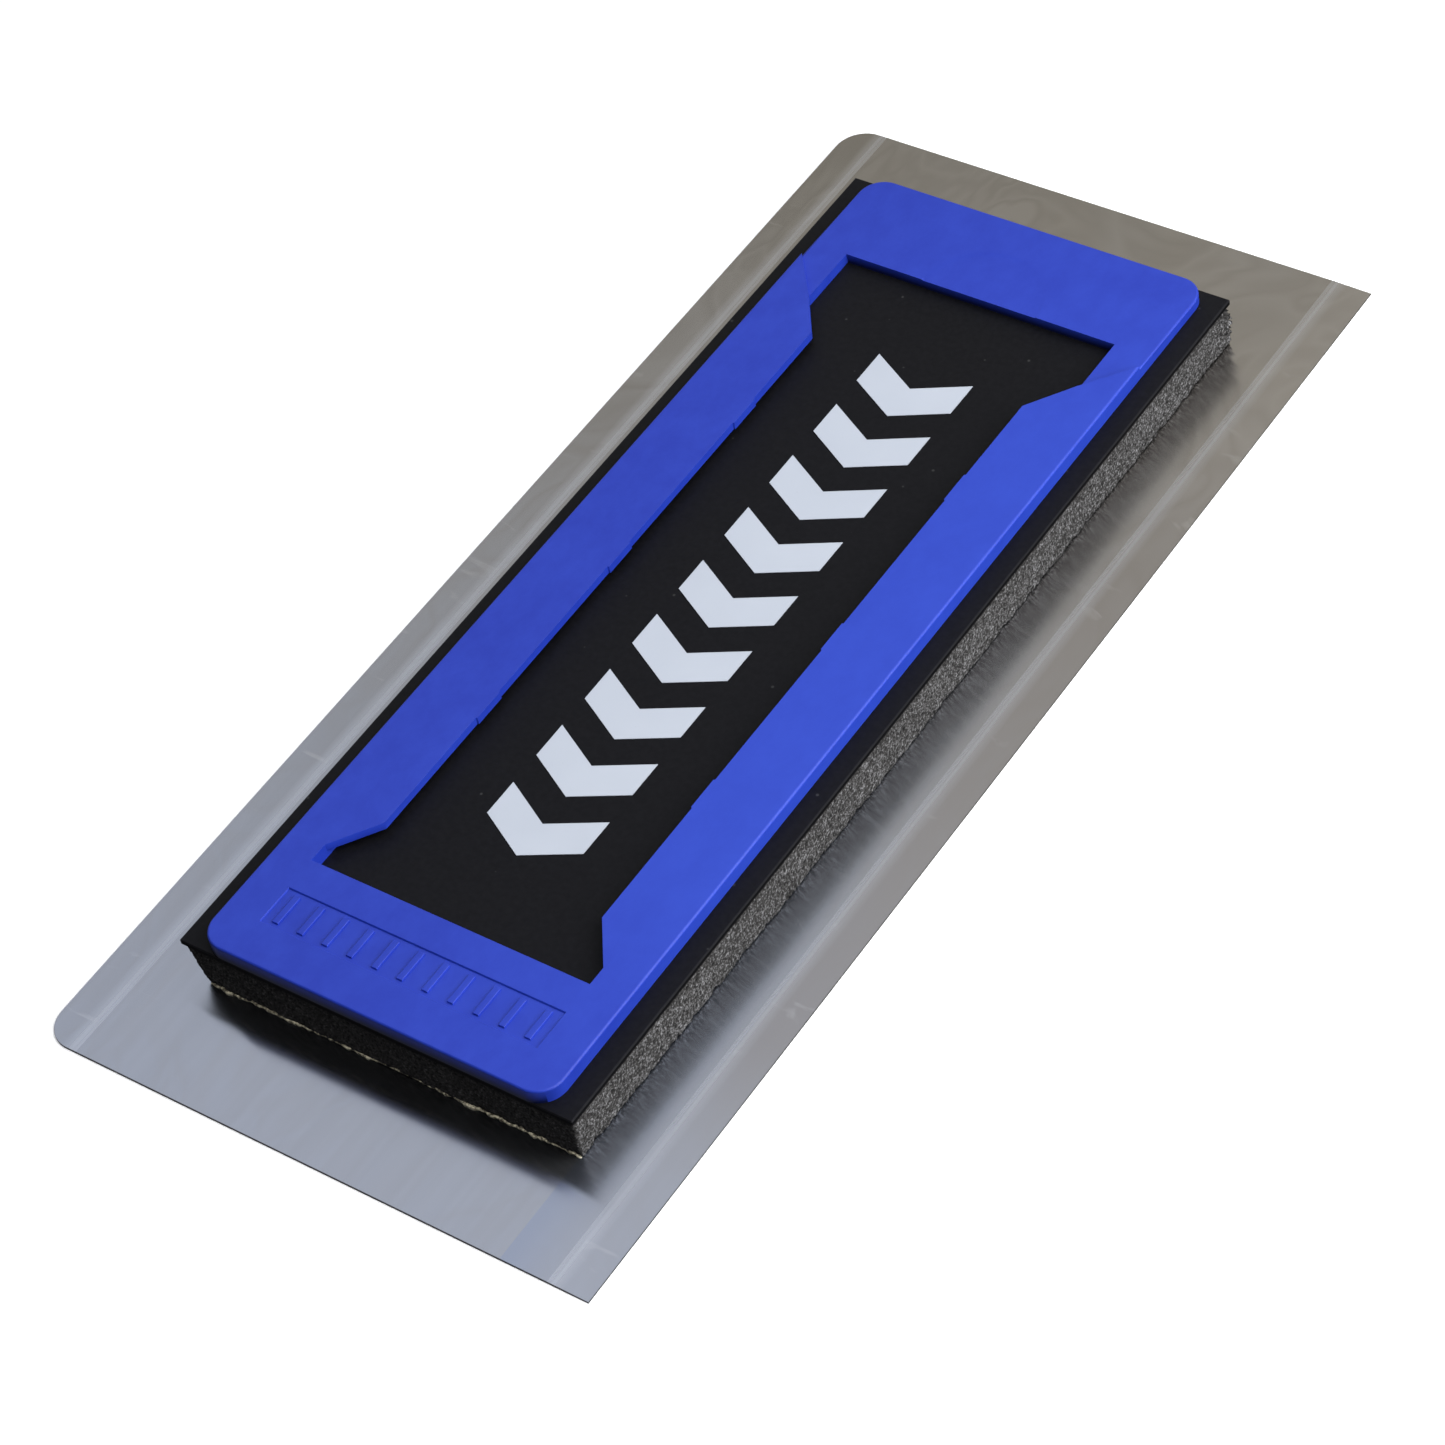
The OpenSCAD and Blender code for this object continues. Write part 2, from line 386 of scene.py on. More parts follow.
def steel_material():
    """Rolled steel: fine brushing along the blade, a painted highlight line at each grind, and handling
    marks.

    The far end is warmer and swirled, the right ground strip is stained, and next to the foam the
    steel carries a painted bluish reflection, stronger towards the near end.
    """
    m = Nodes("brushed_steel")
    brushing = m.noise(m.scaled(9000, 60, 9000), detail=4, rough=0.6)
    bands = m.noise(m.scaled(420, 5, 420), detail=3, rough=0.55)
    clouds = m.noise(m.scaled(38, 22, 38), detail=3)
    swirls = m.ramp(m.noise(m.scaled(26, 17, 26), detail=2, swirl=2.4),
                    (0.36, 0.0), (0.46, 1.0), (0.52, 0.25), (0.6, 0.9), (0.7, 0.2))
    scratches = m.ramp(m.noise(m.turned(12, 5200, 90), detail=2), (0.74, 0.0), (0.82, 1.0))
    smudges = m.ramp(m.noise(m.turned(70, 190, 25), detail=3, swirl=0.8), (0.62, 0.0), (0.72, 1.0))
    x = m.axis("X")
    across = m.math("ABSOLUTE", x)
    line = blade_high.x - GROUND_W
    offset = m.math("SUBTRACT", across, line - 1.2 * MM)
    # painted highlight: a paler line along each grind, which is also rougher there
    grind_highlight = m.ramp(m.math("MULTIPLY", offset, 1 / (4 * MM)), (0.025, 0.0), (0.1, 0.8), (0.24, 0.6),
                   (0.375, 1.0), (0.55, 0.5), (0.975, 0.0))
    ground = m.math("GREATER_THAN", across, line)
    along = m.math("ADD", m.math("DIVIDE", m.axis("Y"), 2 * blade_high.y), 0.5)
    stain = m.ramp(along, (0.1, 0.0), (0.22, 1.0), (0.68, 1.0), (0.84, 0.1))
    stain = m.math("MULTIPLY", stain, m.math("GREATER_THAN", x, line))
    m.set(Metallic=1.0, Anisotropic=0.9, Anisotropic_Rotation=0.0)
    tone = m.mix(bands, (0.545, 0.56, 0.59), (0.61, 0.625, 0.66))
    marked = m.math("MULTIPLY", swirls, m.ramp(along, (0.3, 0.15), (0.75, 0.6)))
    tone = m.mix(m.ramp(along, (0.3, 0.0), (0.8, 0.8)), tone, (0.645, 0.60, 0.545))
    tone = m.mix(marked, tone, (0.50, 0.465, 0.425))
    # painted reflection: a bluish tint on the steel next to the foam, stronger towards the near end
    blue_reflection = m.ramp(m.math("DIVIDE", x, blade_high.x), (0.72, 1.0), (0.88, 0.0))
    blue_reflection = m.math("MULTIPLY", blue_reflection, m.ramp(along, (0.2, 0.65), (0.75, 0.0)))
    blue_reflection = m.math("MULTIPLY", blue_reflection, m.math("GREATER_THAN", x, plate_high.x - 1 * MM))
    tone = m.mix(blue_reflection, tone, (0.46, 0.52, 0.65))
    tone = m.mix(m.math("MULTIPLY", clouds, 0.3), tone, (0.50, 0.51, 0.54))
    tone = m.mix(m.math("MULTIPLY", stain, 0.65), tone, (0.445, 0.413, 0.388))
    tone = m.mix(m.math("MULTIPLY", m.math("MULTIPLY", smudges, ground), 0.35), tone, (0.8, 0.79, 0.78))
    tone = m.mix(m.math("MULTIPLY", grind_highlight, 0.5), tone, (0.85, 0.87, 0.92))
    m.set(Base_Color=m.mix(m.math("MULTIPLY", scratches, 0.4), tone, (0.85, 0.85, 0.85)))
    rough = m.math("ADD", m.math("MULTIPLY", brushing, 0.04), m.math("MULTIPLY", clouds, 0.10))
    rough = m.math("ADD", rough, m.math("MULTIPLY", grind_highlight, 0.12))
    m.set(Roughness=m.math("ADD", rough, 0.12))
    waves = m.bump(m.noise(m.scaled(26, 9, 26), detail=1), 0.25 * MM, 0.4)
    m.bump(brushing, 0.0015 * MM, 0.5, before=waves)
    tangent = m.add("ShaderNodeTangent", direction_type="UV_MAP", uv_map="plan")
    m.link(tangent.outputs["Tangent"], m.surface.inputs["Tangent"])
    return m.material


def moulding_material():
    """Blue plastic with faint flow marks, and a painted sheen that makes the right rail paler.

    Walls that face the closed end carry painted shade, darker towards their foot, where little light
    reaches.
    """
    m = Nodes("blue_moulding")
    flow = m.noise(m.scaled(30, 14, 30), detail=2)
    speckle = m.noise(m.scaled(900, 900, 900), detail=2)
    blots = m.ramp(m.noise(m.scaled(230, 160, 230), detail=4, rough=0.65), (0.35, 0.0), (0.7, 1.0))
    tone = m.mix(flow, (0.0095, 0.0275, 0.338), (0.015, 0.041, 0.420))
    tone = m.mix(m.math("MULTIPLY", blots, 0.35), tone, (0.026, 0.064, 0.51))
    tone = m.mix(m.math("MULTIPLY", speckle, 0.12), tone, (0.03, 0.07, 0.50))
    # painted sheen: the right rail is made paler, fading out towards both bars
    right = m.ramp(m.math("DIVIDE", m.axis("X"), half_x), (0.1, 0.0), (0.6, 1.0))
    middle = m.ramp(m.math("DIVIDE", m.math("ABSOLUTE", m.axis("Y")), half_y), (0.55, 1.0), (0.95, 0.0))
    rail = m.math("MULTIPLY", right, middle)
    tone = m.mix(m.math("MULTIPLY", rail, 0.3), tone, (0.03, 0.08, 0.56))
    # painted shade: walls that face the closed end darken towards their foot
    above = m.math("SUBTRACT", m.axis("Z"), base_z)
    foot = m.ramp(m.math("MULTIPLY", above, 1 / (4 * MM)), (0.1, 1.0), (0.6, 0.0))
    face = m.add("ShaderNodeSeparateXYZ")
    m.link(m.add("ShaderNodeNewGeometry").outputs["True Normal"], face.inputs[0])
    near_wall = m.math("LESS_THAN", face.outputs["Y"], -0.7)
    m.set(Base_Color=m.mix(m.math("MULTIPLY", m.math("MULTIPLY", foot, near_wall), 0.9), tone,
                           (0.001, 0.002, 0.012)))
    m.set(Roughness=m.ramp(flow, (0.3, 0.36), (0.7, 0.44)))
    m.set(Specular_IOR_Level=0.5)
    skin = m.bump(m.noise(m.scaled(260, 260, 260), detail=2), 0.03 * MM, 0.4)
    m.bump(m.noise(m.scaled(2600, 2600, 2600), detail=2), 0.006 * MM, 0.5, before=skin)
    return m.material


def plate_material():
    """Black sheet with a fine grain and a little dust, dull below its top rim; the two long sides carry
    a painted highlight along the rim and painted shade below it.
    """
    m = Nodes("black_sheet")
    grain = m.noise(m.scaled(2400, 2400, 2400), detail=3, rough=0.6)
    mottle = m.ramp(m.noise(m.scaled(900, 900, 900), detail=3, rough=0.7), (0.35, 0.0), (0.75, 1.0))
    dust = m.ramp(m.voronoi(m.scaled(160, 160, 160)), (0.035, 1.0), (0.06, 0.0))
    haze = m.noise(m.scaled(45, 30, 45), detail=3)
    rim = m.math("GREATER_THAN", m.axis("Z"), plate_high.z - 0.3 * MM)
    side = m.math("GREATER_THAN", m.math("ABSOLUTE", m.axis("X")), plate_high.x - 0.3 * MM)
    # below the rim: a duller finish everywhere, and painted shade on the long sides
    cut = m.math("SUBTRACT", 1.0, rim)
    tone = m.mix(haze, (0.0024, 0.0024, 0.0034), (0.0042, 0.0042, 0.0058))
    tone = m.mix(m.math("MULTIPLY", mottle, 0.55), tone, (0.0085, 0.0085, 0.0105))
    # painted highlight along the top rim of the long sides
    tone = m.mix(m.math("MULTIPLY", m.math("MULTIPLY", rim, side), 0.25), tone, (0.03, 0.03, 0.033))
    # painted shade on the long sides below the rim
    tone = m.mix(m.math("MULTIPLY", cut, side), tone, (0.0015, 0.0015, 0.002))
    m.set(Base_Color=m.mix(m.math("MULTIPLY", dust, 0.5), tone, (0.06, 0.06, 0.06)))
    m.set(Specular_IOR_Level=0.18)
    rough = m.math("ADD", m.ramp(haze, (0.3, 0.46), (0.7, 0.58)), m.math("MULTIPLY", cut, 0.35))
    m.set(Roughness=rough)
    m.bump(grain, 0.02 * MM, 0.5)
    return m.material


def foam_material():
    """Grey foam from the mesh's cell values: pale cell walls; pits, end walls and a band under the
    plate in painted shade.
    """
    m = Nodes("grey_foam")
    cells = m.add("ShaderNodeAttribute", attribute_name="cell").outputs["Fac"]
    fine = m.noise(m.scaled(2300, 2300, 2300), detail=3, rough=0.7)
    # painted shade: low cell values, in pits, on the end walls and under the plate, come out dark
    walls = m.math("MULTIPLY", cells, m.ramp(fine, (0.36, 0.12), (0.64, 1.0)))
    tone = m.ramp(walls, (0.0, (0.0095, 0.0095, 0.0097)), (0.4, (0.054, 0.052, 0.051)),
                  (1.0, (0.325, 0.325, 0.335)))
    m.set(Base_Color=tone, Roughness=0.95, Specular_IOR_Level=0.2)
    m.bump(fine, 0.25 * MM, 0.8)
    return m.material


def adhesive_material():
    """Pale dried adhesive in beads, dark between them."""
    m = Nodes("dried_adhesive")
    lumps = m.noise(m.scaled(1500, 1500, 1500), detail=3)
    m.set(Base_Color=m.ramp(lumps, (0.38, (0.07, 0.06, 0.04)), (0.62, (0.78, 0.72, 0.52))))
    m.set(Roughness=0.5)
    m.bump(lumps, 0.1 * MM, 0.6)
    return m.material


def ink_material():
    """White ink, slightly uneven and worn in specks."""
    m = Nodes("white_ink")
    wear = m.noise(m.scaled(1400, 1400, 1400), detail=4, rough=0.7)
    patch = m.noise(m.scaled(70, 70, 70), detail=2)
    tone = m.mix(patch, (0.455, 0.495, 0.565), (0.505, 0.545, 0.615))
    m.set(Base_Color=m.mix(m.ramp(wear, (0.66, 0.0), (0.78, 0.5)), tone, (0.3, 0.31, 0.35)))
    m.set(Roughness=0.55)
    m.bump(wear, 0.01 * MM, 0.5)
    return m.material


# ---------------------------------------------------------------- pieces

def make_blade():
    """The blade sheet: flat, with its two long edges ground to a slight slope."""
    w, l = blade_high.x, blade_high.y
    top, r = blade_high.z, BLADE_CORNER_R
    line = w - GROUND_W
    near = arc(-w + r, -l + r, r, 180, 270, BLADE_CORNER_STEPS)
    far = arc(-w + r, l - r, r, 90, 180, BLADE_CORNER_STEPS)
    strip = [(-line, l)] + far + near + [(-line, -l)]

    def height(x):
        return top - GROUND_DROP * max(0.0, (abs(x) - line) / GROUND_W)

    outline = strip + [(line, -l), (w, -l), (w, l), (line, l)]
    mesh = bpy.data.meshes.new("blade")
    count = len(outline)
    points = [(x, y, height(x)) for x, y in outline] + [(x, y, blade_low.z) for x, y in outline]
    n = len(strip)
    faces = [tuple(range(n)), (0, n - 1, n, n + 3), (n, n + 1, n + 2, n + 3)]
    faces += [(i, i + count, (i + 1) % count + count, (i + 1) % count) for i in range(count)]
    faces += [tuple(reversed(range(count, 2 * count)))]
    mesh.from_pydata(points, [], faces)
    piece = add_object("blade", mesh)
    rim = top - GROUND_DROP - SAME
    bevel_edges(piece, lambda e: all(v.co.z > rim for v in e.verts)
                and any(abs(f.normal.z) < 0.1 for f in e.link_faces), BLADE_EDGE_R, 2)
    uv = piece.data.uv_layers.new(name="plan")
    for loop in piece.data.loops:
        co = piece.data.vertices[loop.vertex_index].co
        uv.data[loop.index].uv = (co.x / (2 * l) + 0.5, co.y / (2 * l) + 0.5)
    piece.data.shade_flat()
    return dress(piece, "blade_sheet", steel_material(), "blade_steel", "steel_blade")


def make_plate():
    """The black backing sheet, its cut edges slightly broken all round."""
    piece = prism(rectangle(plate_low.x, plate_low.y, plate_high.x, plate_high.y),
                  plate_low.z, plate_high.z)
    bevel_edges(piece, lambda e: all(v.co.z > plate_high.z - SAME for v in e.verts), PLATE_EDGE_R, 2)
    bevel_edges(piece, is_upright, PLATE_CORNER_R, 2)
    smooth(piece)
    return dress(piece, "backing_sheet", plate_material(), "plate_plastic", "backing_plate")


def moulding_outline():
    x, y, r = half_x - CORNER_R, half_y - CORNER_R, CORNER_R
    corners = ((x, y, 0), (-x, y, 90), (-x, -y, 180), (x, -y, 270))
    return [p for cx, cy, a in corners for p in arc(cx, cy, r, a, a + 90, CORNER_STEPS)]


def slot_outline():
    """The slot seen from above: narrow between the lips, wide at its two pockets."""
    return [(-CHANNEL_X, slot_near), (CHANNEL_X, slot_near), (CHANNEL_X, closed_slant),
            (SLOT_X, closed_slant + SLANT_RUN), (SLOT_X, entry_slant - SLANT_RUN),
            (CHANNEL_X, entry_slant), (CHANNEL_X, slot_far), (-CHANNEL_X, slot_far),
            (-CHANNEL_X, entry_slant), (-SLOT_X, entry_slant - SLANT_RUN),
            (-SLOT_X, closed_slant + SLANT_RUN), (-CHANNEL_X, closed_slant)]


def entry_area():
    """The far part of the frame, beyond the raised rails' slanting ends."""
    reach = 2 * half_x
    outer = entry_slant + STEP_RUN * (reach - CHANNEL_X) / (half_x - CHANNEL_X)
    return [(-CHANNEL_X, entry_slant), (CHANNEL_X, entry_slant), (reach, outer),
            (reach, 3 * half_y), (-reach, 3 * half_y), (-reach, outer)]


def near_level(z, *levels):
    return any(abs(z - level) < 2 * SAME for level in levels)


def nib_outline(side, y):
    """One low nib on the edge of a lip, for the side -1 or 1."""
    root, tip = side * (SLOT_X + NIB_H), side * (SLOT_X - NIB_H)
    nib = [(root, y - NIB_L / 2), (tip, y - NIB_L / 2 + NIB_H),
           (tip, y + NIB_L / 2 - NIB_H), (root, y + NIB_L / 2)]
    return nib if side < 0 else list(reversed(nib))


def make_moulding():
    """The blue frame: solid blank, lowered entry bar, slot and channel, then its small details."""
    above = rail_z + OVERSHOOT
    piece = prism(moulding_outline(), base_z, rail_z)
    combine(piece, prism(entry_area(), entry_z, above), "DIFFERENCE")
    combine(piece, prism(slot_outline(), base_z - OVERSHOOT, above), "DIFFERENCE")
    channel = rectangle(-CHANNEL_X, slot_near, CHANNEL_X, slot_far)
    combine(piece, prism(channel, base_z - OVERSHOOT, rail_z - LIP), "DIFFERENCE")
    for side in (-1, 1):
        for station in (-1, 0, 1):
            nib = nib_outline(side, station * NIB_PITCH)
            combine(piece, prism(nib, rail_z - LIP, rail_z), "UNION")

    def outer_top(e):
        level = all(near_level(v.co.z, rail_z, entry_z) for v in e.verts)
        x, y = abs(middle_of(e).x), abs(middle_of(e).y)
        rim = x > half_x - NEAR or y > half_y - NEAR
        cx, cy = half_x - CORNER_R, half_y - CORNER_R
        corner = x > cx and y > cy and math.hypot(x - cx, y - cy) > CORNER_R - NEAR
        return level and is_flat(e) and (rim or corner)

    def inner_edge(e):
        x, y = abs(middle_of(e).x), abs(middle_of(e).y)
        inside = x < half_x - INSIDE and y < half_y - INSIDE
        return is_flat(e) and near_level(e.verts[0].co.z, rail_z, entry_z) and inside

    bevel_edges(piece, outer_top, EDGE_R, 5)
    bevel_edges(piece, inner_edge, SOFT_EDGE_R, 3)

    # sunk panel with raised ribs in the closed bar
    panel_y = slot_near - CLOSED_BAR / 2 + PANEL_SHIFT
    pw, pl = PANEL[0] / 2, PANEL[1] / 2
    floor, mouth = (rectangle(-pw - d, panel_y - pl - d, pw + d, panel_y + pl + d)
                    for d in (-PANEL_DRAFT, PANEL_DRAFT))
    combine(piece, prism(floor, rail_z - PANEL_DEPTH, rail_z + PANEL_DEPTH, mouth), "DIFFERENCE")
    pitch = PANEL[0] / RIBS
    rib_half = pl - RIB_GAP
    for i in range(RIBS):
        x = (i - (RIBS - 1) / 2) * pitch
        rib = rectangle(x - RIB_W / 2, panel_y - rib_half, x + RIB_W / 2, panel_y + rib_half)
        combine(piece, prism(rib, rail_z - 2 * PANEL_DEPTH, rail_z), "UNION")

    # thumb scallop in the entry bar
    floor, mouth = (arc(0, slot_far, SCALLOP_R + d, 0, 360, SCALLOP_STEPS)[:-1]
                    for d in (-SCALLOP_DRAFT, SCALLOP_DRAFT))
    combine(piece, prism(floor, entry_z - SCALLOP_DEPTH, entry_z + SCALLOP_DEPTH, mouth), "DIFFERENCE")

    # round mark of the moulding gate
    gate = arc(GATE[0], GATE[1], GATE_R, 0, 360, GATE_STEPS)[:-1]
    combine(piece, prism(gate, entry_z - GATE_DEPTH, entry_z + OVERSHOOT), "DIFFERENCE")

    def panel_edge(e):
        middle = middle_of(e)
        on_panel = abs(middle.x) < pw + NEAR and abs(middle.y - panel_y) < pl + NEAR
        return is_flat(e) and on_panel and near_level(e.verts[0].co.z, rail_z)

    bevel_edges(piece, panel_edge, PANEL_EDGE_R, 2)
    smooth(piece)
    return dress(piece, "quick_fit_moulding", moulding_material(), "frame_plastic", "quick_fit_frame")


def loop_places(x, y, r, step):
    """Places around a rectangle with small round corners: (x, y, outward x, outward y)."""
    places = []
    corners = [(x - r, -y + r, -90), (x - r, y - r, 0), (-x + r, y - r, 90), (-x + r, -y + r, 180)]
    for i, (cx, cy, start) in enumerate(corners):
        for k in range(4):
            a = math.radians(start + 90 * k / 3)
            places.append((cx + r * math.cos(a), cy + r * math.sin(a), math.cos(a), math.sin(a)))
        nx, ny, begin = corners[(i + 1) % 4]
        a = math.radians(begin)
        x0, y0, out_x, out_y = places[-1]
        x1, y1 = nx + r * math.cos(a), ny + r * math.sin(a)
        steps = max(2, int(math.hypot(x1 - x0, y1 - y0) / step))
        for k in range(1, steps):
            t = k / steps
            places.append((x0 + (x1 - x0) * t, y0 + (y1 - y0) * t, out_x, out_y))
    return places


def undercut(x, y):
    """How far the foam's foot is cut back along X, towards its near left corner."""
    corner = math.hypot(x + foam_high.x, y + foam_high.y)
    return UNDERCUT * max(0.0, 1 - corner / UNDERCUT_REACH)


def wall_depth(at, t, wall):
    """How deep the foam's wall lies inside its box, at a place and its part t of the height."""
    fine = noise.noise(at * GRAIN)
    depth = WALL_DEPTH - noise.noise(at * WAVE) * WAVE_DEPTH - fine * GRAIN_DEPTH
    depth += (1 - wall) * PIT_DEPTH
    depth += TOP_ROUND * max(0.0, 1 - (1 - t) * 14)
    ragged = max(0.0, noise.noise(Vector((at.x * RAGGED, at.y * RAGGED, 3.0)))) * RAGGED_DEPTH
    depth += ragged * max(0.0, 1 - t * 5)
    tuft = max(0.0, 1 - math.hypot(at.x - foam_high.x, at.y - foam_high.y) / TUFT_REACH)
    depth -= tuft * max(0.0, fine - 0.12) * TUFT_LENGTH * min(1, 3 * t)
    return depth if 0 < t < 1 else depth + 0.05 * MM


def make_foam():
    """The foam pad: its cut walls carry open cells and a ragged lower edge."""
    height = foam_high.z - foam_low.z
    places = loop_places(foam_high.x, foam_high.y, FOAM_CORNER_R, FOAM_STEP)
    count = len(places)
    points, cells = [], []
    for row in range(FOAM_ROWS + 1):
        t = row / FOAM_ROWS
        z = foam_low.z + height * t
        for x, y, out_x, out_y in places:
            at = Vector((x, y, z))
            (f1, f2, _, _), _ = noise.voronoi(at / CELL)
            wall = max(0.0, min(1.0, 1 - (f2 - f1) * CELL_WALL))
            depth = wall_depth(at, t, wall)
            slant = undercut(x, y) * (1 - t)
            points.append((x - out_x * depth + slant, y - out_y * depth, z))
            # colour values: pits, the two end walls and a band under the plate are darkened as painted
            # shade
            plate_shadow = min(1.0, 0.12 + (1 - t) * height / PLATE_SHADOW_BAND)
            cells.append(wall * (1 - END_SHADE * abs(out_y)) * plate_shadow)
    faces = []
    for row in range(FOAM_ROWS):
        for i in range(count):
            j = (i + 1) % count
            a, b = row * count, (row + 1) * count
            faces.append((a + i, a + j, b + j, b + i))
    limit_x, limit_y = foam_high.x - FOAM_CAP_INSET, foam_high.y - FOAM_CAP_INSET
    for ring, z in ((0, foam_low.z), (FOAM_ROWS, foam_high.z)):
        first = len(points)
        for x, y, _, _ in places:
            points.append((max(-limit_x, min(limit_x, x)), max(-limit_y, min(limit_y, y)), z))
            cells.append(0.5)
        start = ring * count
        for i in range(count):
            j = (i + 1) % count
            quad = (start + i, start + j, first + j, first + i)
            faces.append(quad if ring else tuple(reversed(quad)))
        cap = tuple(range(first, first + count))
        faces.append(cap if ring else tuple(reversed(cap)))
    mesh = bpy.data.meshes.new("foam")
    mesh.from_pydata(points, [], faces)
    attribute = mesh.attributes.new("cell", "FLOAT", "POINT")
    attribute.data.foreach_set("value", cells)
    work = bmesh.new()
    work.from_mesh(mesh)
    bmesh.ops.remove_doubles(work, verts=work.verts, dist=0.001 * MM)
    work.to_mesh(mesh)
    work.free()
    mesh.shade_smooth()
    piece = add_object("foam", mesh)
    piece = dress(piece, "foam_cushion", foam_material(), "foam", "foam_pad")
    return piece


def make_adhesive():
    """The lower adhesive layer, squeezed out as a thin uneven thread at the near end."""
    low = blade_high.z
    flat = foam_low.z
    places = loop_places(foam_high.x, foam_high.y, FOAM_CORNER_R, ADHESIVE_STEP)
    count = len(places)
    rings = [[], [], [], [], []]
    for x, y, out_x, out_y in places:
        along = Vector((x * 300, y * 300, 1.0))
        bulge = 0.25 + 0.9 * noise.noise(along * 0.4) + 0.8 * noise.noise(along * 3.5)
        bulge = max(0.0, min(1.2, bulge))
        near = max(0.0, -out_y)
        slant = undercut(x, y)
        out = -ADHESIVE_INSET - (1 - near) * ADHESIVE_BACK
        thick = (0.02 * MM + THREAD_HEIGHT * bulge) * near + 0.1 * MM
        reach = THREAD_REACH * bulge * near
        section = [(out - FOAM_CAP_INSET, flat), (out - 0.3 * MM, flat),
                   (out + reach * 0.5, low + thick), (out + reach, low + thick * 0.6),
                   (out + reach * 1.1, low)]
        for ring, (offset, z) in zip(rings, section):
            ring.append((x + out_x * offset + slant, y + out_y * offset, z))
    points = [p for ring in rings for p in ring]
    faces = []
    for r in range(4):
        for i in range(count):
            j = (i + 1) % count
            faces.append((r * count + i, (r + 1) * count + i, (r + 1) * count + j, r * count + j))
    first = len(points)
    points += [(p[0], p[1], low) for p in rings[0]]
    for i in range(count):
        j = (i + 1) % count
        faces.append((4 * count + i, first + i, first + j, 4 * count + j))
    faces.append(tuple(range(count)))
    faces.append(tuple(reversed(range(first, first + count))))
    mesh = bpy.data.meshes.new("adhesive")
    mesh.from_pydata(points, [], faces)
    mesh.shade_smooth()
    piece = add_object("adhesive", mesh)
    return dress(piece, "lower_adhesive", adhesive_material(), "adhesive", "blade_adhesive")


# ---------------------------------------------------------------- stage

def make_camera():
    """The camera of the picture: its place, its turn and its lens."""
    data = bpy.data.cameras.new("camera")
    data.lens = CAMERA_LENS
    data.sensor_width = CAMERA_SENSOR
    data.clip_start = 0.05
    data.clip_end = 20
    camera = bpy.data.objects.new("camera", data)
    camera.location = CAMERA_PLACE
    camera.rotation_euler = [math.radians(a) for a in CAMERA_TURN]
    bpy.context.scene.collection.objects.link(camera)
    bpy.context.scene.camera = camera


def lamp(name, place, size, power, sheen):
    """A soft lamp aimed at the part, as a pair: diffuse light, and a weaker twin for reflections."""
    for part, watts, diffuse in ((name, power, True), (name + "_sheen", sheen, False)):
        data = bpy.data.lights.new(part, "AREA")
        data.shape = "RECTANGLE"
        data.size, data.size_y = size
        data.energy = watts
        light = bpy.data.objects.new(part, data)
        light.visible_diffuse = diffuse
        light.visible_glossy = not diffuse
        light.location = place
        light.rotation_euler = (-Vector(place)).to_track_quat("-Z", "Y").to_euler()
        bpy.context.scene.collection.objects.link(light)


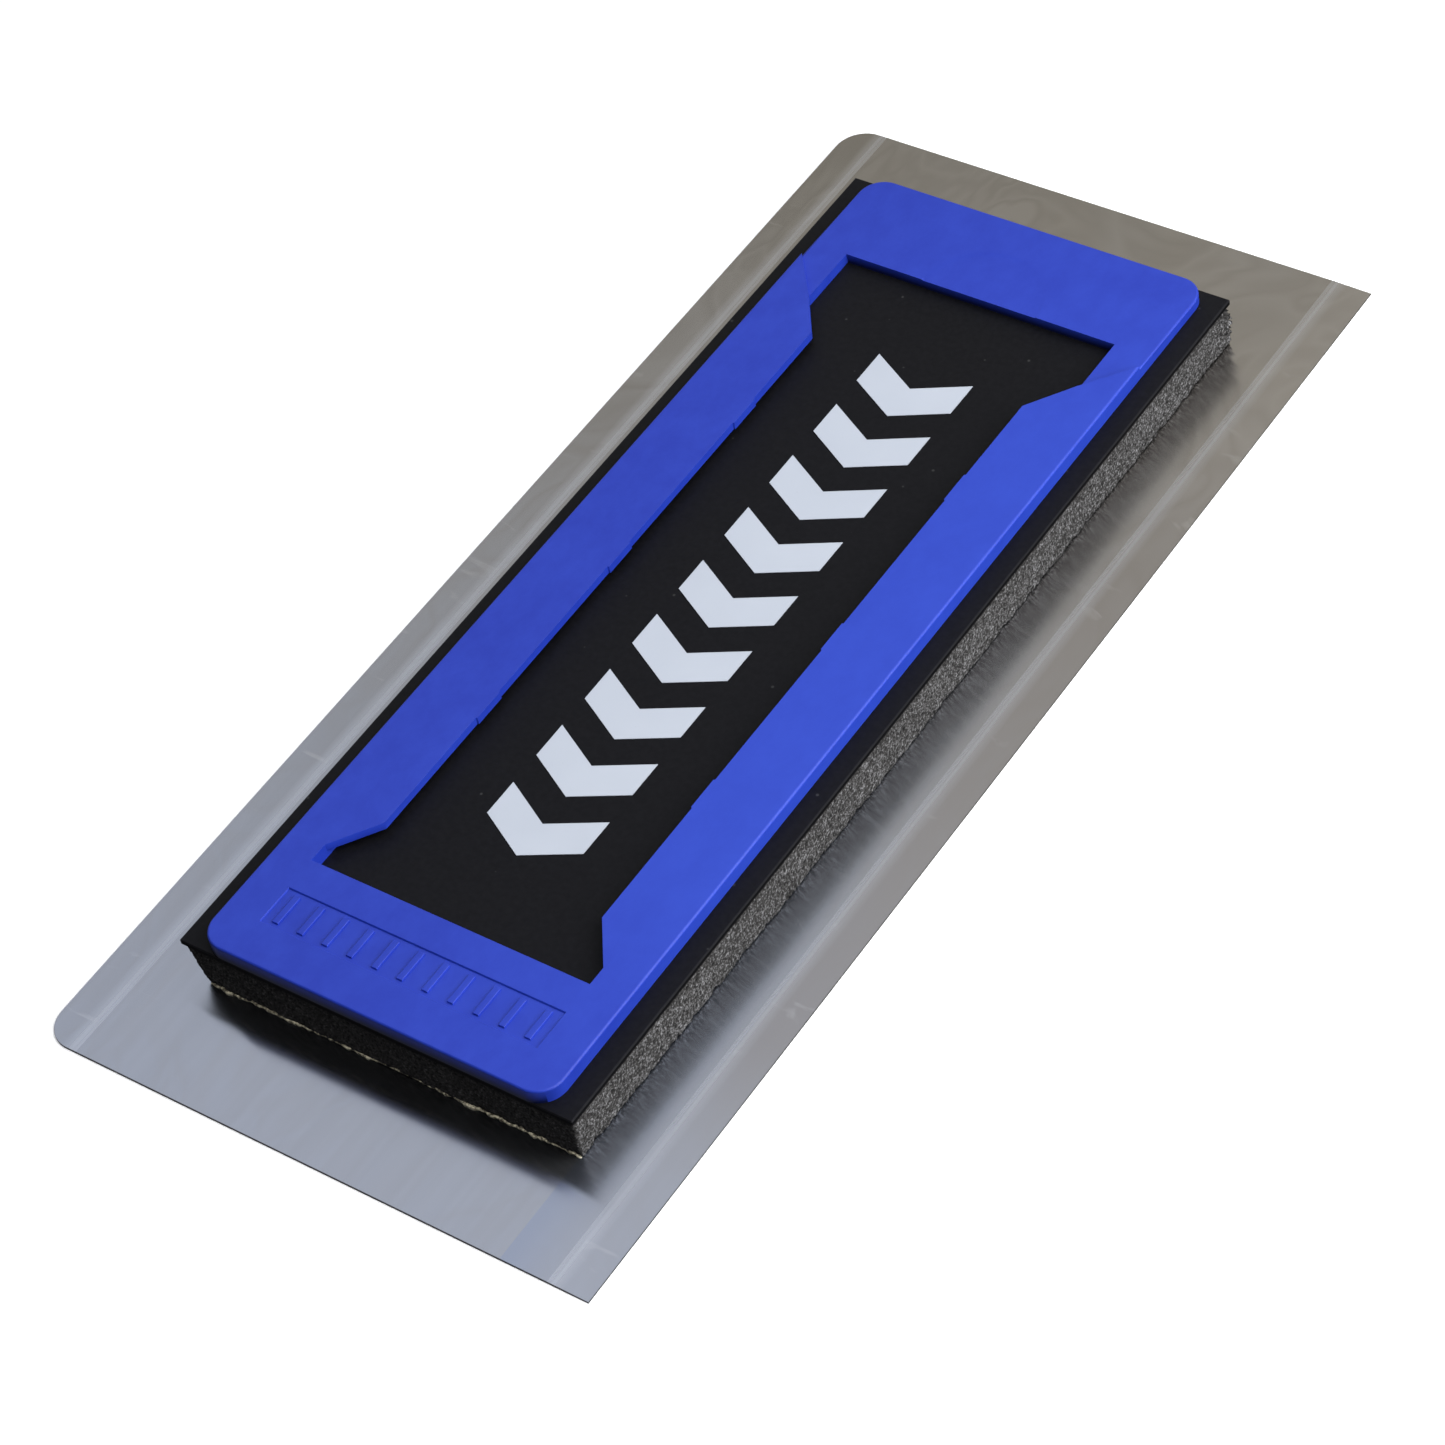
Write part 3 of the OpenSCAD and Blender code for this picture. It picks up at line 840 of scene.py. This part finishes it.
def make_room():
    """The studio around the part: dim by the floor, lighter overhead, warm and darker behind."""
    world = bpy.data.worlds.new("studio")
    world.use_nodes = True
    tree = world.node_tree
    facing = tree.nodes.new("ShaderNodeTexCoord").outputs["Generated"]
    split = tree.nodes.new("ShaderNodeSeparateXYZ")
    tree.links.new(facing, split.inputs[0])
    away = tree.nodes.new("ShaderNodeVectorMath")
    away.operation = "DISTANCE"
    away.inputs[1].default_value = DARK_CORNER
    tree.links.new(facing, away.inputs[0])

    def shade(source, *stops):
        ramp = tree.nodes.new("ShaderNodeValToRGB")
        fill_ramp(ramp, stops)
        tree.links.new(source, ramp.inputs["Fac"])
        return ramp.outputs["Color"]

    def times(a, b):
        node = tree.nodes.new("ShaderNodeMix")
        node.data_type = "RGBA"
        node.blend_type = "MULTIPLY"
        node.inputs["Factor"].default_value = 1
        tree.links.new(a, node.inputs[6])
        tree.links.new(b, node.inputs[7])
        return node.outputs[2]

    def whole(axis):
        """One part of the direction, from -1..1 to 0..1."""
        node = tree.nodes.new("ShaderNodeMapRange")
        node.inputs["From Min"].default_value = -1
        tree.links.new(split.outputs[axis], node.inputs["Value"])
        return node.outputs["Result"]

    height = shade(whole("Z"), (0.35, 0.12), (0.5, 0.30), (0.75, 0.42), (0.85, (0.55, 0.55, 0.56)),
                   (0.95, (0.75, 0.75, 0.77)))
    depth = shade(whole("Y"), (0.2, (0.2, 0.2, 0.205)), (0.5, (0.42, 0.43, 0.47)),
                  (0.68, (0.92, 0.99, 1.14)), (0.8, (1.02, 1.0, 0.93)))
    corner = shade(away.outputs["Value"], (0.06, (0.47, 0.455, 0.41)), (0.3, (1, 1, 1)))
    tree.links.new(times(times(height, depth), corner), tree.nodes["Background"].inputs["Color"])
    bpy.context.scene.world = world


def make_stage():
    """A white floor that stays out of reflections and bounce light, the room and two lamps."""
    mesh = bpy.data.meshes.new("floor")
    corners = rectangle(-FLOOR_SIDE, -FLOOR_SIDE, FLOOR_SIDE, FLOOR_SIDE)
    mesh.from_pydata([(x, y, -FLOOR_DROP) for x, y in corners], [], [(0, 1, 2, 3)])
    floor = add_object("floor", mesh)
    paper = bpy.data.materials.new("paper")
    paper.use_nodes = True
    shader = paper.node_tree.nodes["Principled BSDF"]
    shader.inputs["Base Color"].default_value = (0.93, 0.93, 0.93, 1)
    shader.inputs["Roughness"].default_value = 0.9
    shader.inputs["Specular IOR Level"].default_value = 0.1
    shader.inputs["Emission Color"].default_value = (1, 1, 1, 1)
    shader.inputs["Emission Strength"].default_value = 0.25
    mesh.materials.append(paper)
    floor.visible_diffuse = False
    floor.visible_glossy = False

    make_room()
    lamp("key", **KEY)
    lamp("top", **TOP)
    bpy.context.scene.view_settings.view_transform = "Standard"


make_camera()
make_stage()
make_blade()
make_adhesive()
make_foam()
make_plate()
make_moulding()

paint(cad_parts["printed_marking"], ink_material())
paint(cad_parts["plate_adhesive"], adhesive_material())
